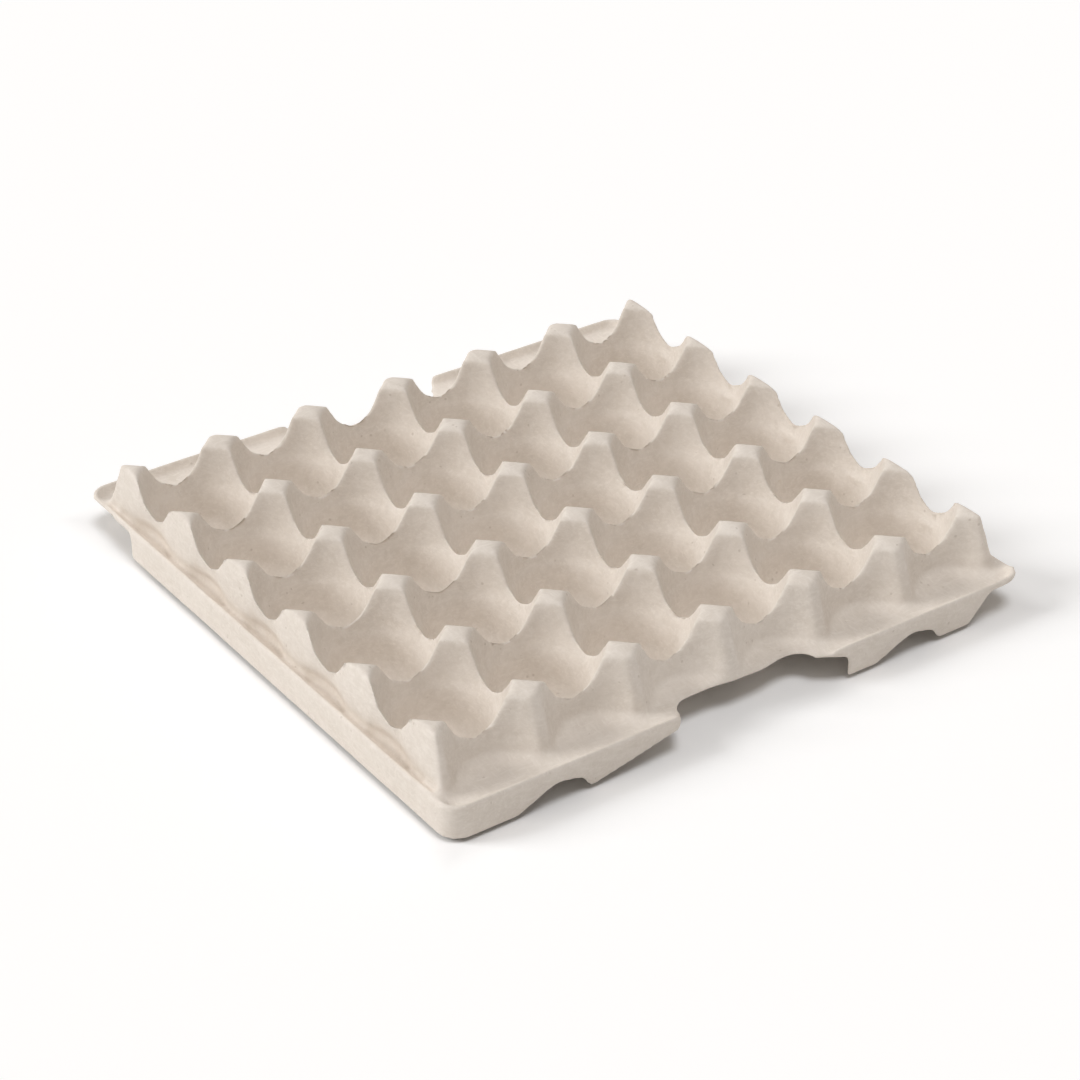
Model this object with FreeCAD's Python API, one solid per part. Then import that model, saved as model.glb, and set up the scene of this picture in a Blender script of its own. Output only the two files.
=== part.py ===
import FreeCAD, Part
import math
import os

os.makedirs("parts", exist_ok=True)

# Sheet thickness and cup grid
wall = 2.2
columns = 6
rows = 5
pitchX = 47.0
pitchY = 47.6
trayHeight = 38.5

# Overshoot of every cutting form
clear = 4.0

# Cups: many flat sides between a bevelled floor and the post tops
cupFloorRadius = 16.5
cupTopRadius = 28.2
cupToe = 4.0
cupSides = 20

# Rim around the grid
rimX = 8.0
rimY = 28.8
cornerRadius = 10.0
lipHeight = 18.0
flangeHeight = 14.0
lipFoot = 3.8
lipCrest = 2.0
skirtLift = 1.2

# Side walls: gutter on the long sides, flange on the short ones
gutterX = 1.0
leanX = 3.0
flangeY = 8.4
leanY = 9.4

# Bays between the posts of the two short sides
bayFloorRadius = 21.5
bayTopRadius = 27.0

# Shallow bays between the posts of the two long sides
scoopRadius = 60.0
scoopInset = 7.4

# Finger notch, measured from the middle of its side: its mouth at the lip, its foot at the wall
notchMouthNear = 38.0
notchMouthFar = 47.0
notchFootNear = 28.5
notchFootFar = 32.0
notchKnee = 37.0
notchKneeDepth = 6.0
stripNear = 9.0
stripStart = 1.0
stripEnd = 13.0
stripFar = 24.0
stripWidth = 2.0
underFar = 50.0

# Low arches in the skirt, measured from the middle of their side
archNear = 97.0
archFar = 85.5
archFootNear = 20.0
archFootFar = 15.0
archKneeNear = 6.0
archKneeFar = 11.0
archKneeLow = 7.5
archKneeHigh = 6.8
archHeight = 9.5

# Slope under the skirt between the near arch and the notch
slopeFoot = 81.0
slopeTop = 10.5

# Skirt gaps at two opposite corners
gapX = 36.0
gapTopX = 18.0
gapY = 41.0
edgeThickness = 2.6

# Worked-out sizes
gridX = columns * pitchX / 2
gridY = rows * pitchY / 2
halfX = gridX + rimX
halfY = gridY + rimY
cupSlope = (cupTopRadius - cupFloorRadius) / (trayHeight - wall)
cupSide = wall * math.sqrt(1 + cupSlope ** 2)
bayAxisY = gridY + pitchY / 2
baySlope = (bayTopRadius - bayFloorRadius) / (trayHeight - flangeHeight)
baySide = wall * math.sqrt(1 + baySlope ** 2)
footX = halfX - lipFoot - gutterX
scoopAxisX = halfX - scoopInset + scoopRadius
footY = halfY - lipFoot - flangeY
slopeX = leanX / (trayHeight - flangeHeight)
slopeY = leanY / (trayHeight - flangeHeight)
sideX = wall * math.sqrt(1 + slopeX ** 2)
sideY = wall * math.sqrt(1 + slopeY ** 2)
roof = flangeHeight - wall
outside = halfY + clear
skirtBack = halfY - wall - clear / 2


def block(x0, x1, y0, y1, z0, z1):
    return Part.makeBox(x1 - x0, y1 - y0, z1 - z0, FreeCAD.Vector(x0, y0, z0))


def rounded(inset, z0, z1):
    x = halfX - inset
    y = halfY - inset
    body = block(-x, x, -y, y, z0, z1)
    upright = [e for e in body.Edges if e.BoundBox.ZLength > e.BoundBox.DiagonalLength / 2]
    return body.makeFillet(cornerRadius - inset, upright)


def outline(inset, z):
    body = rounded(inset, z, z + wall)
    return min(body.Faces, key=lambda f: f.CenterOfMass.z).OuterWire


def flared(inset0, z0, inset1, z1):
    return Part.makeLoft([outline(inset0, z0), outline(inset1, z1)], True, True)


def rectangle(x, y, z):
    corners = [(x, y), (-x, y), (-x, -y), (x, -y), (x, y)]
    return Part.makePolygon([FreeCAD.Vector(a, b, z) for a, b in corners])


# Block inside the side walls, leaning inwards as it rises
def wallForm(z0, z1, insetX, insetY):
    wires = []
    for z in (z0, z1):
        x = footX - slopeX * (z - flangeHeight) - insetX
        y = footY - slopeY * (z - flangeHeight) - insetY
        wires.append(rectangle(x, y, z))
    return Part.makeLoft(wires, True, True)


# One cup as a solid
def ring(radius, z):
    turns = [2 * math.pi * k / cupSides for k in range(cupSides + 1)]
    return [FreeCAD.Vector(radius * math.cos(a), radius * math.sin(a), z) for a in turns]


def stacked(rings):
    wires = [Part.makePolygon(points) for points in rings]
    faces = [Part.Face(wires[0]), Part.Face(wires[-1])]
    for low, high in zip(rings, rings[1:]):
        for k in range(cupSides):
            corners = [low[k], low[k + 1], high[k + 1], high[k], low[k]]
            faces.append(Part.Face(Part.makePolygon(corners)))
    return Part.makeSolid(Part.makeShell(faces))


def cupForm(grow, z0, z1):
    r0 = cupFloorRadius + cupSlope * (z0 + cupToe - wall) + grow
    r1 = cupFloorRadius + cupSlope * (z1 - wall) + grow
    return stacked([ring(r0 - cupToe, z0), ring(r0, z0 + cupToe), ring(r1, z1)])


# Hollow between two posts of a short side
def bayForm(grow, z0, z1):
    r0 = bayFloorRadius + baySlope * (z0 - flangeHeight) + grow
    r1 = bayFloorRadius + baySlope * (z1 - flangeHeight) + grow
    return Part.makeCone(r0, r1, z1 - z0, FreeCAD.Vector(0, 0, z0))


# Shallow hollow between two posts of a long side
def scoopForm(grow, z0, z1):
    return Part.makeCylinder(scoopRadius + grow, z1 - z0, FreeCAD.Vector(0, 0, z0))


# Low opening in the skirt, steeper on its far side
def arch():
    points = [
        FreeCAD.Vector(-archFootNear, -outside, -clear),
        FreeCAD.Vector(-archFootNear, -outside, skirtLift),
        FreeCAD.Vector(-archKneeNear, -outside, archKneeLow),
        FreeCAD.Vector(0, -outside, archHeight),
        FreeCAD.Vector(archKneeFar, -outside, archKneeHigh),
        FreeCAD.Vector(archFootFar, -outside, skirtLift),
        FreeCAD.Vector(archFootFar, -outside, -clear),
    ]
    points.append(points[0])
    depth = FreeCAD.Vector(0, outside - skirtBack, 0)
    return Part.Face(Part.makePolygon(points)).extrude(depth)


def placed(form, x, y):
    copy = form.copy()
    copy.translate(FreeCAD.Vector(x, y, 0))
    return copy


columnX = [(i - (columns - 1) / 2) * pitchX for i in range(columns)]
rowY = [(j - (rows - 1) / 2) * pitchY for j in range(rows)]
above = trayHeight + clear

# Upper side of the sheet
innerCup = cupForm(0, wall, above)
innerCups = [placed(innerCup, x, y) for x in columnX for y in rowY]
innerBay = bayForm(0, flangeHeight, above)
innerBays = [placed(innerBay, x, side * bayAxisY) for x in columnX for side in (-1, 1)]
innerScoop = scoopForm(0, flangeHeight, above)
innerBays += [placed(innerScoop, side * scoopAxisX, y) for y in rowY for side in (-1, 1)]
plinth = rounded(2 * wall, -wall, roof)
rim = rounded(0, skirtLift, lipHeight).cut(flared(lipFoot, flangeHeight, lipCrest, lipHeight))
walls = wallForm(roof, trayHeight, 0, 0).cut(innerBays)
upper = rim.fuse([plinth, walls]).cut(innerCups)

# Lower side of the sheet
outerCup = cupForm(cupSide, 0, trayHeight)
outerCups = [placed(outerCup, x, y) for x in columnX for y in rowY]
outerBay = bayForm(baySide, roof, trayHeight)
outerBays = [placed(outerBay, x, side * bayAxisY) for x in columnX for side in (-1, 1)]
outerScoop = scoopForm(wall, roof, trayHeight)
outerBays += [placed(outerScoop, side * scoopAxisX, y) for y in rowY for side in (-1, 1)]
hollow = wallForm(roof - wall, trayHeight - wall, sideX, sideY).cut(outerBays)
lower = rounded(wall, -clear, roof).fuse(hollow).cut(outerCups)

# Finger notch and arches of one short side
plan = [
    (-notchMouthNear, outside),
    (-notchMouthNear, halfY),
    (-notchFootNear, footY),
    (-stripNear, footY),
    (-stripStart, footY + stripWidth),
    (stripEnd, footY + stripWidth),
    (stripFar, footY),
    (notchFootFar, footY),
    (notchKnee, footY + notchKneeDepth),
    (notchMouthFar, halfY),
    (notchMouthFar, outside),
]
plan.append(plan[0])
mouth = Part.makePolygon([FreeCAD.Vector(x, -y, -clear) for x, y in plan])
notch = Part.Face(mouth).extrude(FreeCAD.Vector(0, 0, lipHeight + 2 * clear))
underCut = block(0, underFar, -outside, -skirtBack, -clear, roof)
slope = [
    FreeCAD.Vector(-slopeFoot, -outside, -clear),
    FreeCAD.Vector(-slopeFoot, -outside, skirtLift),
    FreeCAD.Vector(-notchMouthNear, -outside, slopeTop),
    FreeCAD.Vector(0, -outside, slopeTop),
    FreeCAD.Vector(0, -outside, -clear),
]
slope.append(slope[0])
rise = Part.Face(Part.makePolygon(slope)).extrude(FreeCAD.Vector(0, outside - skirtBack, 0))
cuts = [notch, underCut, rise]
archForm = arch()
cuts.append(placed(archForm, -archNear, 0))
cuts.append(placed(archForm, archFar, 0))

# Skirt gap round one corner
edgeLow = lipHeight - edgeThickness
core = rounded(lipFoot, -2 * clear, roof).fuse(flared(lipFoot, roof, 0, edgeLow))
band = block(-2 * halfX, 2 * halfX, -2 * halfY, 2 * halfY, -clear, edgeLow).cut(core)
slant = [
    FreeCAD.Vector(halfX - gapX, -outside, -clear),
    FreeCAD.Vector(halfX + clear, -outside, -clear),
    FreeCAD.Vector(halfX + clear, -outside, above),
    FreeCAD.Vector(halfX - gapTopX, -outside, above),
    FreeCAD.Vector(halfX - gapTopX, -outside, edgeLow),
]
slant.append(slant[0])
span = FreeCAD.Vector(0, cornerRadius + clear, 0)
sideGap = Part.Face(Part.makePolygon(slant)).extrude(span)
backX = halfX - cornerRadius
endGap = block(backX, halfX + clear, -outside, -halfY + gapY, -clear, above)
cuts.append(band.common(sideGap.fuse(endGap)))

# The same cuts turned half round for the other side
turned = []
for cut in cuts:
    copy = cut.copy()
    copy.rotate(FreeCAD.Vector(0, 0, 0), FreeCAD.Vector(0, 0, 1), 180)
    turned.append(copy)

tray = upper.cut([lower] + cuts + turned)
if tray.ShapeType == "Compound" and len(tray.Solids) == 1:
    tray = tray.Solids[0]
tray.exportStep("parts/tray.step")
print("tray", tray.ShapeType, len(tray.Solids), tray.isValid(), round(tray.Volume), tray.BoundBox)
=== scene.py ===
import math

import bmesh
import bpy
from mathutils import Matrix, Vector


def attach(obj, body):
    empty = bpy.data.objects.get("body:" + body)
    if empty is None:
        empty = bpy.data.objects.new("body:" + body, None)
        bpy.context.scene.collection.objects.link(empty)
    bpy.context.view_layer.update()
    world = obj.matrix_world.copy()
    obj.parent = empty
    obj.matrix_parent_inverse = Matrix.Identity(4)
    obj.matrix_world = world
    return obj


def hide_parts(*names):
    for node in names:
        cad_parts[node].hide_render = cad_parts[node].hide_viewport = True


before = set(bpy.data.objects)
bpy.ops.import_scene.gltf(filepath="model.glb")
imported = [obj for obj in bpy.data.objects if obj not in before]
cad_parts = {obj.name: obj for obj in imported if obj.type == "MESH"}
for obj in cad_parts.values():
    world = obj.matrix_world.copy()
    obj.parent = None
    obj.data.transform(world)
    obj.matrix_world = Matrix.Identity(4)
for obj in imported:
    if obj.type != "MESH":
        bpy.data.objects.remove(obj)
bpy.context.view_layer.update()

mm = 0.001


class Wire:
    # one socket that takes part in Python arithmetic
    def __init__(self, tree, socket=None):
        self.tree = tree
        self.socket = socket

    def add(self, kind, settings=None, inputs=None, out=0):
        # any node: its settings first, then the values or links of its sockets
        node = self.tree.nodes.new(kind)
        for name, value in (settings or {}).items():
            setattr(node, name, value)
        for name, value in (inputs or {}).items():
            if isinstance(value, Wire):
                self.tree.links.new(value.socket, node.inputs[name])
            else:
                node.inputs[name].default_value = value
        return Wire(self.tree, node.outputs[out])

    def pick(self, name):
        # another output of the same node
        return Wire(self.tree, self.socket.node.outputs[name])

    def maths(self, operation, first, second=0.0):
        return self.add("ShaderNodeMath", {"operation": operation}, {0: first, 1: second})

    def ramp(self, value, low, high, first=0.0, last=1.0):
        # a soft step from first to last while the value goes from low to high
        return self.add("ShaderNodeMapRange", {"interpolation_type": "SMOOTHSTEP"},
                        {0: value, 1: low, 2: high, 3: first, 4: last})

    def __add__(self, other): return self.maths("ADD", self, other)
    def __radd__(self, other): return self.maths("ADD", other, self)
    def __sub__(self, other): return self.maths("SUBTRACT", self, other)
    def __rsub__(self, other): return self.maths("SUBTRACT", other, self)
    def __mul__(self, other): return self.maths("MULTIPLY", self, other)
    def __rmul__(self, other): return self.maths("MULTIPLY", other, self)
    def __truediv__(self, other): return self.maths("DIVIDE", self, other)
    def __rtruediv__(self, other): return self.maths("DIVIDE", other, self)
    def above(self, level): return self.maths("GREATER_THAN", self, level)


# how the moulded sheet is softened, in metres and passes
sheet = {
    "mergeDistance": 0.004 * mm,
    "voxel": 0.95 * mm,
    "triangles": 190000,
    "swell": 0.52 * mm,
    "swellStart": 20 * mm,
    "roundingPasses": 16,
    "capStart": 33 * mm,
    "capEnd": 37 * mm,
    "capShare": 0.3,
    "rimX": 143.2 * mm,
    "rimY": 138 * mm,
    "rimFade": 2.0 * mm,
    "rimShare": 0.16,
    "footPasses": 26,
    "footHeight": 14 * mm,
    "footReach": 7 * mm,
    "footInner": 121 * mm,
    "footOuter": 137 * mm,
    "footFade": 3.5 * mm,
    "gutterPlace": 144.8 * mm,
    "gutterReach": 1.9 * mm,
    "gutterDepth": 1.8 * mm,
    "gutterPitch": 47.6 * mm,
    "gutterWiden": 1.2,
    "gutterLow": 10.5 * mm,
    "gutterHigh": 17.5 * mm,
    "gutterFade": 0.9 * mm,
    "gutterRoot": 138 * mm,
    "gutterEnd": 133 * mm,
    "gutterRise": 4.5 * mm,
    "gutterDraw": 1.3 * mm,
    "gutterHollow": 1.1 * mm,
    "cornerX": 136 * mm,
    "cornerY": 122 * mm,
    "cornerCrisp": 0.6,
    "lumpSize": 34 * mm,
    "lumpDepth": 0.5 * mm,
    "lumpDetail": 2.0,
    "grainSize": 5.5 * mm,
    "grainDepth": 0.24 * mm,
    "grainDetail": 3.0,
    "seed": 7.0,
}


def treeInput(tree, name, kind):
    return tree.interface.new_socket(name, in_out="INPUT", socket_type=kind).identifier


def softSheetTree(pulp):
    # rounds every crease of the sheet and gives it the lumps and grain of wet-laid pulp
    tree = bpy.data.node_groups.new("softSheet", "GeometryNodeTree")
    treeInput(tree, "Geometry", "NodeSocketGeometry")
    sizes = {}
    for name, value in sheet.items():
        if name not in ("mergeDistance", "voxel", "triangles"):
            kind = "NodeSocketInt" if isinstance(value, int) else "NodeSocketFloat"
            sizes[name] = treeInput(tree, name, kind)
    tree.interface.new_socket("Geometry", in_out="OUTPUT", socket_type="NodeSocketGeometry")
    w = Wire(tree)
    source = tree.nodes.new("NodeGroupInput")
    given = {socket.name: Wire(tree, socket) for socket in source.outputs if socket.name}
    place = w.add("GeometryNodeInputPosition")
    normal = w.add("GeometryNodeInputNormal")
    across = w.add("ShaderNodeSeparateXYZ", None, {0: place})
    height = across.pick("Z")
    away = w.maths("ABSOLUTE", across.pick("Y"))
    side = w.maths("ABSOLUTE", across)

    def faded(value, start, fade, first, last):
        return w.ramp(value, given[start], given[start] + given[fade], first, last)

    def softened(shape, passes, weight):
        blurred = w.add("GeometryNodeBlurAttribute", {"data_type": "FLOAT_VECTOR"},
                        {"Value": place, "Iterations": given[passes], "Weight": weight})
        return w.add("GeometryNodeSetPosition", None, {"Geometry": shape, "Position": blurred})

    def moved(shape, offset):
        return w.add("GeometryNodeSetPosition", None, {"Geometry": shape, "Offset": offset})

    # the post tops and corner posts stay crisp, and the hollows run softly into the rims
    caps = w.ramp(height, given["capStart"], given["capEnd"], 1.0, given["capShare"])
    rimX = faded(side, "rimX", "rimFade", 1.0, given["rimShare"])
    rimY = faded(away, "rimY", "rimFade", 1.0, given["rimShare"])
    cornerX = faded(side, "cornerX", "rimFade", 0.0, 1.0)
    cornerY = faded(away, "cornerY", "rimFade", 0.0, 1.0)
    crisp = 1 - cornerX * cornerY * given["cornerCrisp"]
    share = w.maths("MINIMUM", w.maths("MINIMUM", caps, crisp), w.maths("MINIMUM", rimX, rimY))
    soft = softened(given["Geometry"], "roundingPasses", share)

    # the foot of the six-cup walls runs out into the flange
    near = w.ramp(w.maths("ABSOLUTE", height - given["footHeight"]), 0.0, given["footReach"], 1.0, 0.0)
    inside = faded(away, "footInner", "footFade", 0.0, 1.0)
    outside = faded(away, "footOuter", "footFade", 1.0, 0.0)
    soft = softened(soft, "footPasses", near * inside * outside)

    # the gutter inside the lip is let in a little deeper, and widens under each hollow of the wall
    apart = side - given["gutterPlace"]
    hollow = w.maths("COSINE", away * (2 * math.pi) / given["gutterPitch"]) * 0.5 + 0.5
    apart = w.maths("MAXIMUM", apart, (0 - apart) / (1 + hollow * given["gutterWiden"]))
    line = w.ramp(apart, 0.0, given["gutterReach"], given["gutterDepth"], 0.0)
    ends = w.ramp(away, given["gutterEnd"] - given["gutterRise"], given["gutterEnd"], 1.0, 0.0)
    level = height.above(given["gutterLow"]) * (1 - height.above(given["gutterHigh"])) * ends
    soft = moved(soft, w.add("ShaderNodeCombineXYZ", None, {2: 0 - line * level}))

    # the foot of the five-cup walls is drawn in beside it
    foot = faded(side, "gutterPlace", "gutterFade", 1.0, 0.0)
    foot = foot * faded(side, "gutterRoot", "rimFade", 0.0, 1.0)
    foot = foot * w.ramp(height, given["gutterHigh"] - given["rimFade"],
                         given["gutterHigh"] + given["gutterRise"], 1.0, 0.0)
    draw = given["gutterDraw"] + hollow * given["gutterHollow"]
    inward = w.maths("SIGN", across) * foot * ends * draw
    soft = moved(soft, w.add("ShaderNodeCombineXYZ", None, {0: 0 - inward}))

    def relief(size, depth, detail):
        noise = w.add("ShaderNodeTexNoise", {"noise_dimensions": "4D"},
                      {"Vector": place, "W": given["seed"], "Scale": 1 / given[size],
                       "Detail": given[detail]})
        return (noise - 0.5) * given[depth]

    # lumps and grain, and the swelling of the thin crests let down again
    swollen = w.ramp(height, given["swellStart"] - given["rimFade"],
                     given["swellStart"] + given["rimFade"])
    depth = relief("lumpSize", "lumpDepth", "lumpDetail") + relief("grainSize", "grainDepth", "grainDetail")
    depth = depth - swollen * given["swell"]
    rough = moved(soft, w.add("ShaderNodeVectorMath", {"operation": "SCALE"}, {0: normal, "Scale": depth}))
    smooth = w.add("GeometryNodeSetShadeSmooth", None, {"Geometry": rough})
    real = w.add("GeometryNodeRealizeInstances", None, {"Geometry": smooth})
    painted = w.add("GeometryNodeSetMaterial", None, {"Geometry": real, "Material": pulp})
    result = tree.nodes.new("NodeGroupOutput")
    tree.links.new(painted.socket, result.inputs[0])
    return tree, sizes


# colours of the dry pulp, linear, and the sizes and strengths of its marks
pulpLook = {
    "pale": (0.850, 0.785, 0.715, 1),
    "base": (0.790, 0.722, 0.650, 1),
    "dull": (0.715, 0.645, 0.570, 1),
    "fleck": (0.520, 0.445, 0.370, 1),
    "cloudSize": 30 * mm,
    "cloudShare": 0.45,
    "mottleSize": 4.2 * mm,
    "mottleShare": 0.55,
    "mottleRoughness": 0.6,
    "toneLow": 0.36,
    "toneHigh": 0.62,
    "warpSize": 12.6 * mm,
    "fibreSize": 1.5 * mm,
    "fibreStretch": 0.28,
    "fibreRoughness": 0.65,
    "fibreTurns": ((0.3, 0.2, 0.5), (-0.4, 0.5, -0.3)),
    "fibreLow": 0.48,
    "fibreHigh": 0.72,
    "fibreShare": 0.75,
    "fleckPitch": 4.16 * mm,
    "fleckInner": 0.08,
    "fleckOuter": 0.2,
    "fleckPatch": 6.72 * mm,
    "fleckKept": 0.6,
    "fleckShare": 0.5,
    "roughness": 0.93,
    "fibreGloss": 0.08,
    "specular": 0.25,
    "grainHeight": 0.28 * mm,
    "grainStrength": 0.6,
    "grainFibre": 0.55,
    "grainMottle": 0.45,
}


def pulpMaterial():
    look = pulpLook
    pulp = bpy.data.materials.new("pulp")
    pulp.use_nodes = True
    tree = pulp.node_tree
    shader = tree.nodes["Principled BSDF"]
    w = Wire(tree)
    place = w.add("ShaderNodeTexCoord", out=3)

    def noise(size, detail, roughness, lift, vector=place):
        return w.add("ShaderNodeTexNoise", {"noise_dimensions": "4D"},
                     {"Vector": vector, "W": lift, "Scale": 1 / size,
                      "Detail": detail, "Roughness": roughness})

    def spread(value, low, high):
        return w.add("ShaderNodeMapRange", None, {0: value, 1: low, 2: high})

    def mix(share, first, second):
        return w.add("ShaderNodeMix", {"data_type": "RGBA", "clamp_factor": True},
                     {0: share, 6: first, 7: second}, out=2)

    cloud = noise(look["cloudSize"], 2.0, 0.5, 0.0)
    mottle = noise(look["mottleSize"], 4.0, look["mottleRoughness"], 3.0)
    # short fibres lie every way: two stretched noises, turned against each other by a slow warp
    warp = w.add("ShaderNodeTexNoise", None, {"Vector": place, "Scale": 1 / look["warpSize"]}, out=1)
    bent = w.add("ShaderNodeVectorMath", {"operation": "MULTIPLY_ADD"},
                 {0: warp, 1: (look["mottleSize"],) * 3, 2: place})
    thin = look["fibreStretch"]
    fibres = []
    for lift, stretch, turn in zip((1.0, 2.0), ((thin, 1, 1), (1, thin, 1)), look["fibreTurns"]):
        lain = w.add("ShaderNodeMapping", None, {"Vector": bent, "Scale": stretch, "Rotation": turn})
        fibres.append(noise(look["fibreSize"], 3.0, look["fibreRoughness"], lift, lain))
    fibre = w.maths("MAXIMUM", *fibres)
    cells = w.add("ShaderNodeTexVoronoi", None, {"Vector": bent, "Scale": 1 / look["fleckPitch"]})
    kept = noise(look["fleckPatch"], 1.0, 0.5, 6.0).above(look["fleckKept"])
    fleck = (1 - spread(cells, look["fleckInner"], look["fleckOuter"])) * kept

    tone = cloud * look["cloudShare"] + mottle * look["mottleShare"]
    colour = mix(spread(tone, look["toneLow"], look["toneHigh"]), look["dull"], look["base"])
    light = spread(fibre, look["fibreLow"], look["fibreHigh"])
    colour = mix(light * look["fibreShare"], colour, look["pale"])
    colour = mix(fleck * look["fleckShare"], colour, look["fleck"])
    gloss = look["roughness"] - light * look["fibreGloss"]
    height = fibre * look["grainFibre"] + mottle * look["grainMottle"]
    bump = w.add("ShaderNodeBump", None, {"Strength": look["grainStrength"],
                                          "Distance": look["grainHeight"], "Height": height})
    tree.links.new(colour.socket, shader.inputs["Base Color"])
    tree.links.new(gloss.socket, shader.inputs["Roughness"])
    tree.links.new(bump.socket, shader.inputs["Normal"])
    shader.inputs["Specular IOR Level"].default_value = look["specular"]
    return pulp


def mergedCopy(node, name):
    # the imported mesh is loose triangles: a copy of it is merged before it is worked on
    mesh = node.data.copy()
    shape = bmesh.new()
    shape.from_mesh(mesh)
    bmesh.ops.remove_doubles(shape, verts=shape.verts, dist=sheet["mergeDistance"])
    shape.to_mesh(mesh)
    shape.free()
    mesh.name = name
    piece = bpy.data.objects.new(name, mesh)
    bpy.context.scene.collection.objects.link(piece)
    return piece


def evaluated(piece):
    # the evaluated mesh takes the place of the piece's own, and its modifiers go
    graph = bpy.context.evaluated_depsgraph_get()
    mesh = bpy.data.meshes.new_from_object(piece.evaluated_get(graph))
    piece.modifiers.clear()
    piece.data = mesh
    mesh.name = piece.name


def makeTray(pulp):
    piece = mergedCopy(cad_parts["tray"], "pulpTray")
    # swollen a little first, so that the thin crests are whole in the even skin
    swell = piece.modifiers.new("swell", "DISPLACE")
    swell.strength = sheet["swell"]
    swell.mid_level = 0.0
    upper = piece.vertex_groups.new(name="upper")
    upper.add([v.index for v in piece.data.vertices if v.co.z > sheet["swellStart"]], 1.0, "REPLACE")
    swell.vertex_group = "upper"
    remesh = piece.modifiers.new("even skin", "REMESH")
    remesh.mode = "VOXEL"
    remesh.voxel_size = sheet["voxel"]
    tree, sizes = softSheetTree(pulp)
    soft = piece.modifiers.new("soft sheet", "NODES")
    soft.node_group = tree
    for name, identifier in sizes.items():
        soft[identifier] = sheet[name]
    evaluated(piece)
    dense = sum(len(face.vertices) - 2 for face in piece.data.polygons)
    thin = piece.modifiers.new("fewer faces", "DECIMATE")
    thin.ratio = min(1.0, sheet["triangles"] / dense)
    evaluated(piece)
    for face in piece.data.polygons:
        face.use_smooth = True
    print("tray skin:", dense, "triangles, thinned to", len(piece.data.polygons))
    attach(piece, "root")
    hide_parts("tray")


# the pale floor and the soft studio light
studio = {
    "floorSize": 8.0,
    "floorColour": (1.0, 1.0, 1.0, 1),
    "floorGlow": 0.11,
    "glowStart": 147 * mm,
    "glowFade": 14 * mm,
    "worldStrength": 0.295,
    "worldColour": (1.0, 0.93, 0.85, 1),
    "backdropColour": (1, 1, 1, 1),
    "keyStrength": 0.54,
    "keyColour": (0.99, 1.0, 1.01),
    "keyFrom": (-0.73, 0.47, 0.49),
    "keySpread": 26.0,
    "fillStrength": 0.345,
    "fillColour": (0.99, 1.0, 1.03),
    "fillFrom": (0.0, -0.21, 0.98),
    "fillSpread": 24.0,
}


def backdropSeen(w):
    # 1 where the backdrop is looked at or mirrored, 0 where it lights the object
    path = w.add("ShaderNodeLightPath")
    seen = w.maths("MAXIMUM", path.pick("Is Camera Ray"), path.pick("Is Glossy Ray"))
    return w.maths("MAXIMUM", seen, path.pick("Is Transmission Ray"))


def makeFloor():
    half = studio["floorSize"] / 2
    mesh = bpy.data.meshes.new("floor")
    corners = [(-half, -half, 0), (half, -half, 0), (half, half, 0), (-half, half, 0)]
    mesh.from_pydata(corners, [], [(0, 1, 2, 3)])
    floor = bpy.data.objects.new("floor", mesh)
    bpy.context.scene.collection.objects.link(floor)
    paint = bpy.data.materials.new("floorPaint")
    paint.use_nodes = True
    tree = paint.node_tree
    tree.nodes.clear()
    w = Wire(tree)
    matte = w.add("ShaderNodeBsdfDiffuse", None, {"Color": studio["floorColour"]})
    # the glow that lifts the floor to white where it is seen fades out around the tray, which paints a soft
    # shadow on the floor around it, so that its openings stay dark
    place = w.add("ShaderNodeTexCoord", out=3)
    across = w.add("ShaderNodeSeparateXYZ", None, {0: place})
    sides = [w.maths("ABSOLUTE", across.pick(axis)) for axis in "XY"]
    apart = w.maths("MAXIMUM", *sides) - studio["glowStart"]
    clear = w.ramp(apart, 0.0, studio["glowFade"])
    glow = w.add("ShaderNodeEmission", None, {"Strength": backdropSeen(w) * clear * studio["floorGlow"]})
    both = w.add("ShaderNodeAddShader", None, {0: matte, 1: glow})
    out = tree.nodes.new("ShaderNodeOutputMaterial")
    tree.links.new(both.socket, out.inputs["Surface"])
    mesh.materials.append(paint)


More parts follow.
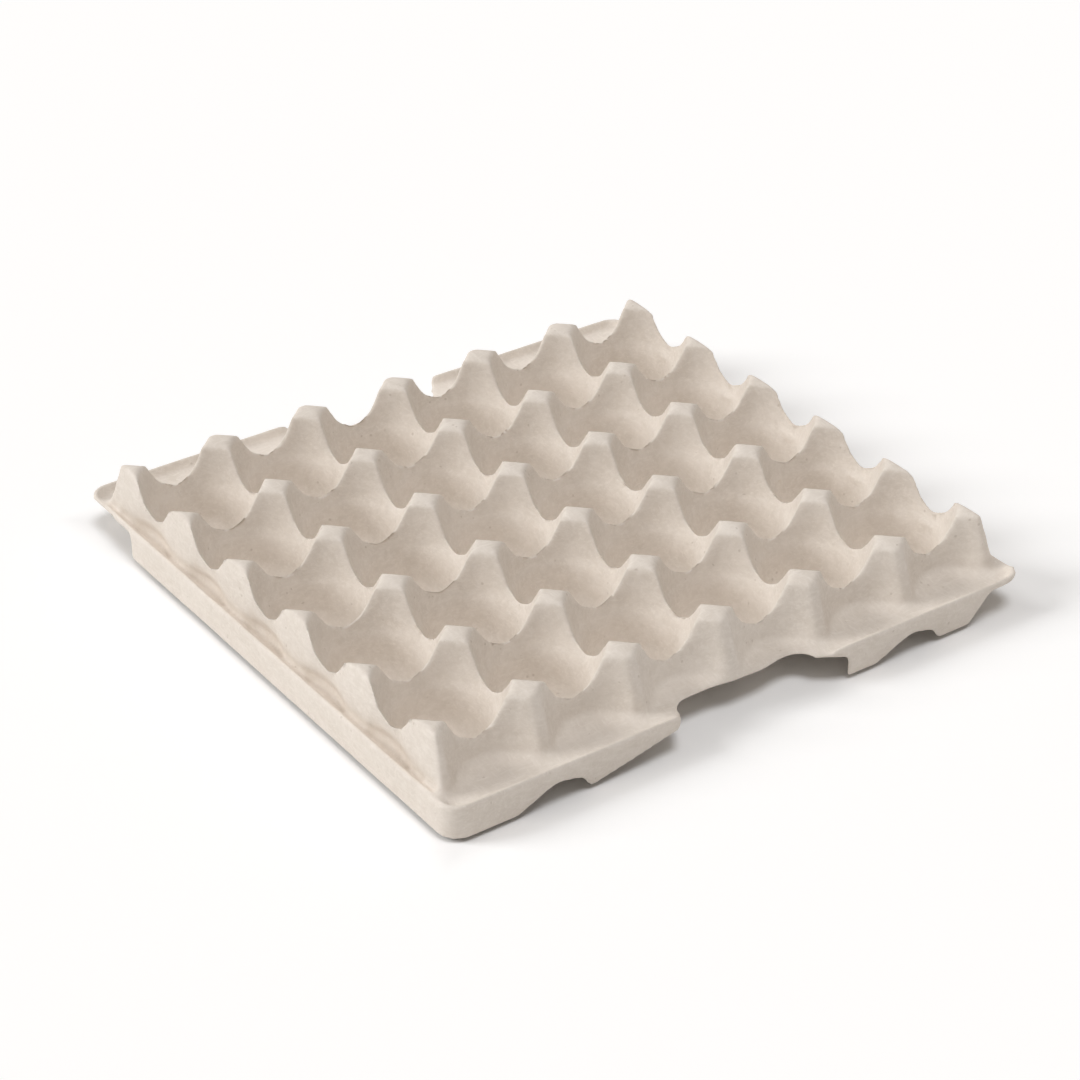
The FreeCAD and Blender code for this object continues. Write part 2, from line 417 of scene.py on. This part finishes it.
def makeLamp(name):
    lamp = bpy.data.lights.new(name, "SUN")
    lamp.energy = studio[name + "Strength"] * math.pi
    lamp.color = studio[name + "Colour"]
    lamp.angle = math.radians(studio[name + "Spread"])
    holder = bpy.data.objects.new(name, lamp)
    holder.location = studio[name + "From"]
    holder.rotation_euler = Vector(studio[name + "From"]).to_track_quat("Z", "Y").to_euler()
    bpy.context.scene.collection.objects.link(holder)


def makeLight():
    # a broad low lamp from the left and behind, a soft high one from the front, and an even sky
    makeLamp("key")
    makeLamp("fill")
    world = bpy.data.worlds.new("studio")
    bpy.context.scene.world = world
    world.use_nodes = True
    tree = world.node_tree
    tree.nodes.clear()
    w = Wire(tree)
    seen = backdropSeen(w)
    ambient = studio["worldStrength"]
    tint = w.add("ShaderNodeMix", {"data_type": "RGBA"},
                 {0: seen, 6: studio["worldColour"], 7: studio["backdropColour"]}, out=2)
    back = w.add("ShaderNodeBackground", None, {"Color": tint, "Strength": seen * (1 - ambient) + ambient})
    out = tree.nodes.new("ShaderNodeOutputWorld")
    tree.links.new(back.socket, out.inputs["Surface"])


# where the camera stands, from the photograph's own perspective
view = {
    "target": (-0.0011, 0.00196, 0.01152),
    "distance": 1.28751,
    "azimuth": -35.24,
    "elevation": 31.67,
    "lens": 97.3,
    "sensor": 36.0,
    "clipStart": 0.05,
    "clipEnd": 50,
}


def makeCamera():
    azimuth = math.radians(view["azimuth"])
    elevation = math.radians(view["elevation"])
    away = Vector((math.sin(azimuth) * math.cos(elevation),
                   -math.cos(azimuth) * math.cos(elevation),
                   math.sin(elevation)))
    lens = bpy.data.cameras.new("camera")
    lens.lens = view["lens"]
    lens.sensor_width = view["sensor"]
    lens.clip_start = view["clipStart"]
    lens.clip_end = view["clipEnd"]
    camera = bpy.data.objects.new("camera", lens)
    camera.location = Vector(view["target"]) + away * view["distance"]
    camera.rotation_euler = (-away).to_track_quat("-Z", "Y").to_euler()
    bpy.context.scene.collection.objects.link(camera)
    bpy.context.scene.camera = camera


bpy.context.scene.view_settings.view_transform = "Standard"
makeCamera()
pulp = pulpMaterial()
print("material made")
makeTray(pulp)
makeFloor()
makeLight()
print("floor, light and camera placed")

bpy.context.view_layer.update()
